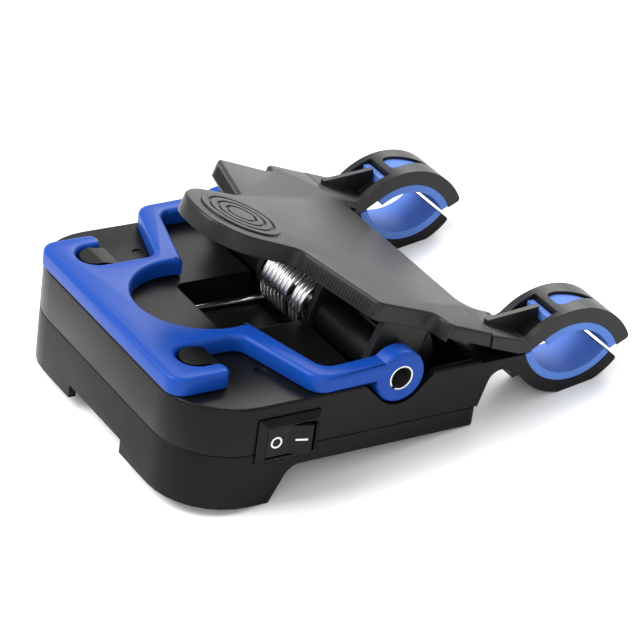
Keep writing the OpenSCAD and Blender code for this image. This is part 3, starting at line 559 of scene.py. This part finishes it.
# ---- Sub-assemblies ----
@dataclass
class Stand:
    """The folding hook stand, with rounded edges.

    Attributes:
        underside: z of its lower face, in the case frame.
        thickness: how thick it is.
        top_round: rounding along the upper face.
        foot_round: rounding along the lower face.
        ring_round: rounding round the rings' outer faces.
        split: x of the plane where its nodes meet.
        half_width: y of the rings' outer faces.
        ring_inside: edges nearer to the pin than this belong to the bore.
    """

    underside: float = 34.3 * MM
    thickness: float = 5.7 * MM
    top_round: float = 1.5 * MM
    foot_round: float = 0.5 * MM
    ring_round: float = 1.3 * MM
    split: float = 32.3 * MM
    half_width: float = 56 * MM
    ring_inside: float = 7 * MM

    def build(self) -> None:
        """Makes the stand."""
        place = REST.case()
        piece = copy_of(("stand", "stand_arm_near", "stand_arm_far"), "stand_frame", place, self.split)
        bevel_where(piece, self.top_round, 4, level_with(self.underside + self.thickness))
        bevel_where(piece, self.foot_round, 2, level_with(self.underside))
        bevel_where(piece, self.ring_round, 3, self.on_ring)
        settle(piece, place)
        fit(piece, Body.STAND, "stand_blue", "stand", "stand_arm_near", "stand_arm_far")

    def on_ring(self, edge: bmesh.types.BMEdge) -> bool:
        """Says whether an edge is the outer edge of a ring's end face."""
        for vert in edge.verts:
            reach = math.hypot(vert.co.x - REST.pin[0], vert.co.z - REST.pin[1])
            if abs(abs(vert.co.y) - self.half_width) > LEVEL or reach < self.ring_inside:
                return False
        return True


@dataclass
class Case:
    """The two halves of the case, with their rims rounded.

    Attributes:
        half_width: y of the side walls' outer faces.
        top: z of the upper half's top face.
        seam: z of the plane where the halves meet.
        top_round: rounding round the top face.
        seam_round: rounding along the seam.
        foot_round: rounding of the far end's lower edge.
        corner: radius of the corners at the head.
        wall_near: how near a point lies to a straight wall that it is on.
        corner_near: how near a point lies to a round corner that it is on.
    """

    half_width: float = 56 * MM
    top: float = 34 * MM
    seam: float = 18 * MM
    top_round: float = 0.9 * MM
    seam_round: float = 0.45 * MM
    foot_round: float = 1.6 * MM
    corner: float = 22 * MM
    wall_near: float = 0.05 * MM
    corner_near: float = 0.1 * MM

    def build(self) -> None:
        """Makes both halves."""
        place = REST.case()
        upper = copy_of(("upper_case",), "case_top", place)
        bevel_where(upper, self.top_round, 4, self.rim_at(self.top))
        bevel_where(upper, self.seam_round, 2, self.rim_at(self.seam))
        settle(upper, place)
        fit(upper, Body.CASE, "case_black", "upper_case")
        lower = copy_of(("lower_case",), "case_bottom", place)
        bevel_where(lower, self.seam_round, 2, self.rim_at(self.seam))
        foot = level_with(REST.end_foot)
        bevel_where(lower, self.foot_round, 4, lambda edge: foot(edge) and all(
            abs(v.co.x - REST.end) < LEVEL for v in edge.verts))
        settle(lower, place)
        fit(lower, Body.CASE, "case_black", "lower_case")

    def rim_at(self, height: float) -> EdgeTest:
        """Makes a test for edges of the outer wall at one height."""
        level = level_with(height)
        return lambda edge: level(edge) and all(self.outside(v.co) for v in edge.verts)

    def outside(self, point: Vector) -> bool:
        """Says whether a point lies on the case's outer wall."""
        x, y = point.x, abs(point.y)
        straight = self.half_width - self.corner
        if abs(y - self.half_width) < self.wall_near and x > self.corner - self.wall_near:
            return True
        if abs(x) < self.wall_near and y < straight + self.wall_near:
            return True
        reach = math.hypot(self.corner - x, y - straight)
        return x < self.corner and y > straight and abs(reach - self.corner) < self.corner_near


@dataclass
class Lever:
    """The squeeze lever: its plate, thumb tab, ears and the jaws at its far end.

    Attributes:
        edge_round: rounding round the plate's face.
        split: x of the plane where its nodes meet, in the lever frame.
        ridge_pitch: distance from one ridge to the next.
        ridge_size: size of one ridge.
        ridge_height: height of the ridges' middle above the pin.
        ridge_round: rounding of a ridge's edges.
        ear_edge: x and y of the two ends of an ear's row of ridges.
    """

    edge_round: float = 1.0 * MM
    split: float = 36.2 * MM
    ridge_pitch: float = 1.1 * MM
    ridge_size: tuple[float, float, float] = (0.5 * MM, 0.42 * MM, 3.6 * MM)
    ridge_height: float = 15.6 * MM
    ridge_round: float = 0.15 * MM
    ear_edge: tuple[tuple[float, float], ...] = ((-22.2 * MM, 22.2 * MM), (-14.4 * MM, 45.5 * MM))

    def build(self) -> None:
        """Makes the lever and the grip ridges on its ears."""
        place = REST.lever()
        piece = copy_of(("clamp_lever", "upper_jaw_near", "upper_jaw_far"), "lever_plate", place,
                        self.split)
        bevel_where(piece, self.edge_round, 3, level_with(REST.plate_top))
        settle(piece, place)
        fit(piece, Body.LEVER, "lever_grey", "clamp_lever", "upper_jaw_near", "upper_jaw_far")
        for side, name in ((-1, "ear_ridges_near"), (1, "ear_ridges_far")):
            fit(settle(self.ridges(side, name), place), Body.LEVER, "lever_grey")

    def ridges(self, side: int, name: str) -> bpy.types.Object:
        """Makes the row of fine upright ridges on one ear's slanted face.

        Args:
            side: -1 for the ear on the switch's side, 1 for the other.
            name: name of the piece.

        Returns:
            The row, in the lever frame.
        """
        first, last = (Vector((x, side * y, self.ridge_height)) for x, y in self.ear_edge)
        along = last - first
        deselect()
        bpy.ops.mesh.primitive_cube_add(size=1, location=(0, 0, 0))
        row = named(name)
        row.scale = self.ridge_size
        bpy.ops.object.transform_apply(location=False, rotation=False, scale=True)
        rounding = row.modifiers.new("rounding", "BEVEL")
        rounding.width = self.ridge_round
        rounding.segments = 2
        repeat = row.modifiers.new("repeat", "ARRAY")
        repeat.count = int(along.length / self.ridge_pitch) + 1
        repeat.use_relative_offset = False
        repeat.use_constant_offset = True
        repeat.constant_offset_displace = (0, side * self.ridge_pitch, 0)
        apply_all(row)
        lean = math.atan2(along.x, side * along.y)
        row.data.transform(Matrix.Translation(first) @ Matrix.Rotation(-side * lean, 4, "Z"))
        return row


@dataclass
class Spring:
    """The torsion spring: a long coil with its leg on the case, a short one with the other leg.

    Attributes:
        wire: thickness of the wire.
        thinner: how much the short coil's wire is thinner, in radius.
        mean: radius of both coils at the middle of the wire.
        pitch: how far a turn of the long coil moves along the pin.
        turns: turns of the long coil.
        start_y: y of the long coil's first face.
        well_leg: x of the end of the leg that lies in the case's well.
        leg_height: z of that leg, in the case frame.
        hook_turns: turns of the short coil.
        hook_pitch: how far a turn of the short coil moves along the pin.
        lever_reach: length of the leg under the lever plate.
        lever_height: height of that leg's end above the pin, in the lever frame.
        sides: number of sides of the wire.
        steps: number of steps in a turn.
        smooth: edges flatter than this many degrees are shaded smooth.
    """

    wire: float = 2.0 * MM
    thinner: float = 0.1 * MM
    mean: float = 9.5 * MM
    pitch: float = 2.12 * MM
    turns: float = 7.75
    start_y: float = 11.8 * MM
    well_leg: float = 36 * MM
    leg_height: float = 26.95 * MM
    hook_turns: float = 2.5
    hook_pitch: float = 2.05 * MM
    lever_reach: float = 34 * MM
    lever_height: float = 15.75 * MM
    sides: int = 14
    steps: int = 36
    smooth: float = 60

    def build(self) -> None:
        """Makes both ends of the spring."""
        self.case_end()
        self.lever_end()

    def coil(self, name: str, start: float, radius: float, turns: float, first_y: float,
             pitch: float) -> bpy.types.Object:
        """Winds a coil about the y axis from a round wire section.

        Args:
            name: name of the piece.
            start: angle of its first end, from x towards z, in radians.
            radius: radius of the wire.
            turns: number of turns, wound from x towards z.
            first_y: y of its first end.
            pitch: how far each turn moves along -y.

        Returns:
            The open-ended coil.
        """
        deselect()
        bpy.ops.mesh.primitive_circle_add(vertices=self.sides, radius=radius,
                                          location=(self.mean, first_y, 0))
        piece = named(name)
        bpy.ops.object.transform_apply(location=True, rotation=True, scale=True)
        winding = piece.modifiers.new("winding", "SCREW")
        winding.axis = "Y"
        winding.angle = -math.tau * turns
        winding.steps = winding.render_steps = round(turns * self.steps)
        winding.screw_offset = -pitch * turns
        winding.use_merge_vertices = False
        apply_all(piece)
        piece.data.transform(Matrix.Rotation(-start, 4, "Y"))
        return piece

    def rod(self, name: str, first: Vector, last: Vector, radius: float) -> bpy.types.Object:
        """Makes a straight length of wire between two points."""
        along = last - first
        deselect()
        bpy.ops.mesh.primitive_cylinder_add(vertices=self.sides, radius=radius, depth=along.length,
                                            location=(first + last) / 2)
        piece = named(name)
        piece.rotation_mode = "QUATERNION"
        piece.rotation_quaternion = along.to_track_quat("Z", "Y")
        bpy.ops.object.transform_apply(location=True, rotation=True, scale=True)
        return piece

    def case_end(self) -> None:
        """Makes the long coil and the straight leg that lies in the well."""
        drop = REST.pin[1] - self.leg_height
        start = math.pi + math.asin(drop / self.mean)
        coil = self.coil("spring_coil", start, self.wire / 2, self.turns,
                         self.start_y - self.wire / 2, self.pitch)
        meet = Vector((self.mean * math.cos(start), self.start_y - self.wire / 2, -drop))
        leg = self.rod("spring_leg", Vector((self.well_leg - REST.pin[0], self.start_y, -drop)),
                       meet, self.wire / 2)
        piece = joined([coil, leg], "spring_coil")
        pin = Matrix.Translation((REST.pin[0], 0, REST.pin[1]))
        settle(piece, REST.case() @ pin, self.smooth)
        fit(piece, Body.CASE, "spring_steel", "torsion_spring")

    def lever_end(self) -> None:
        """Makes the short coil and the leg that presses up under the lever plate."""
        radius = self.wire / 2 - self.thinner
        rise = math.atan2(self.lever_height - self.mean, self.lever_reach)
        last_y = self.start_y - self.wire / 2 - self.pitch * self.turns
        first_y = last_y - self.wire
        meet = math.pi / 2 + rise
        coil = self.coil("spring_hook", meet, radius, self.hook_turns, first_y, self.hook_pitch)
        base = Vector((self.mean * math.cos(meet), first_y, self.mean * math.sin(meet)))
        reach = Vector((-math.cos(rise), 0, math.sin(rise))) * self.lever_reach
        leg = self.rod("spring_arm", base, base + reach, radius)
        piece = joined([coil, leg], "spring_hook")
        settle(piece, REST.lever(), self.smooth)
        fit(piece, Body.LEVER, "spring_steel", "spring_lever_end")


@dataclass
class Studio:
    """Floor, lights and camera.

    Attributes:
        eye: place of the camera.
        forward: direction that the camera looks in.
        right: direction on the camera's right.
        lens: focal length, in millimetres.
        sensor: width of the sensor, in millimetres.
        clip: nearest and farthest that the camera sees.
        floor_size: length of the floor's side.
        floor_color: linear colour of the floor.
        floor_roughness: roughness of the floor.
        surround: strength of the even light from all round.
        lamps: name, place, size and power of each light.
    """

    eye: tuple[float, float, float] = (-0.3707, -0.6307, 0.5149)
    forward: tuple[float, float, float] = (0.4184, 0.7118, -0.5642)
    right: tuple[float, float, float] = (0.8561, -0.5166, -0.0168)
    lens: float = 160.4
    sensor: float = 36
    clip: tuple[float, float] = (0.01, 20)
    floor_size: float = 6.0
    floor_color: tuple[float, float, float] = (0.92, 0.92, 0.92)
    floor_roughness: float = 0.7
    surround: float = 0.75
    lamps: tuple[tuple[str, tuple[float, float, float], float, float], ...] = field(
        default_factory=lambda: (
            ("key", (-0.75, 0.45, 1.15), 0.9, 26.0),
            ("fill", (-0.55, -1.3, 0.75), 1.1, 8.0),
            ("rim", (0.95, 0.7, 0.75), 0.8, 14.0),
        ))

    def build(self) -> None:
        """Sets up the camera, the floor and the lights."""
        bpy.context.scene.view_settings.view_transform = "Standard"
        self.camera()
        self.floor()
        self.lights()

    def camera(self) -> None:
        """Places the camera."""
        data = bpy.data.cameras.new("camera")
        data.lens = self.lens
        data.sensor_width = self.sensor
        data.clip_start, data.clip_end = self.clip
        camera = bpy.data.objects.new("camera", data)
        bpy.context.scene.collection.objects.link(camera)
        back = -Vector(self.forward).normalized()
        side = Vector(self.right).normalized()
        up = back.cross(side)
        turn = Matrix((side, up, back)).transposed()
        camera.matrix_world = Matrix.Translation(self.eye) @ turn.to_4x4()
        bpy.context.scene.camera = camera

    def floor(self) -> None:
        """Lays a plain pale floor."""
        deselect()
        bpy.ops.mesh.primitive_plane_add(size=self.floor_size, location=(0, 0, 0))
        floor = named("floor")
        material = bpy.data.materials.new("pale_floor")
        material.use_nodes = True
        shader = material.node_tree.nodes["Principled BSDF"]
        shader.inputs["Base Color"].default_value = (*self.floor_color, 1)
        shader.inputs["Roughness"].default_value = self.floor_roughness
        floor.data.materials.append(material)

    def lights(self) -> None:
        """Hangs soft area lights and an even surround."""
        for name, place, size, power in self.lamps:
            data = bpy.data.lights.new(name, "AREA")
            data.size = size
            data.energy = power
            lamp = bpy.data.objects.new(name, data)
            bpy.context.scene.collection.objects.link(lamp)
            lamp.location = place
            lamp.rotation_mode = "QUATERNION"
            lamp.rotation_quaternion = (-Vector(place)).to_track_quat("-Z", "Y")
        world = bpy.data.worlds.new("surround")
        bpy.context.scene.world = world
        world.use_nodes = True
        sky = world.node_tree.nodes["Background"]
        sky.inputs["Color"].default_value = (1, 1, 1, 1)
        sky.inputs["Strength"].default_value = self.surround


def main() -> None:
    """Builds every sub-assembly in order."""
    logging.basicConfig(level=logging.INFO, format="%(name)s: %(message)s")
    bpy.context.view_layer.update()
    EFFECTS.update({Effect.GRAIN: make_grain(), Effect.WEAR_AND_HIGHLIGHT: make_wear_and_highlight(), Effect.DUST_AND_TOP_LIGHT: make_dust_and_top_light()})
    for finish in FINISHES:
        MATERIALS[finish.name] = finish.build()
    for entry in frame["record"]["subparts"]:
        dress(NODES[entry["node"]], entry["material_slot"])
    for part in (Stand(), Case(), Lever(), Spring()):
        part.build()
    Studio().build()


if __name__ == "__main__":
    main()
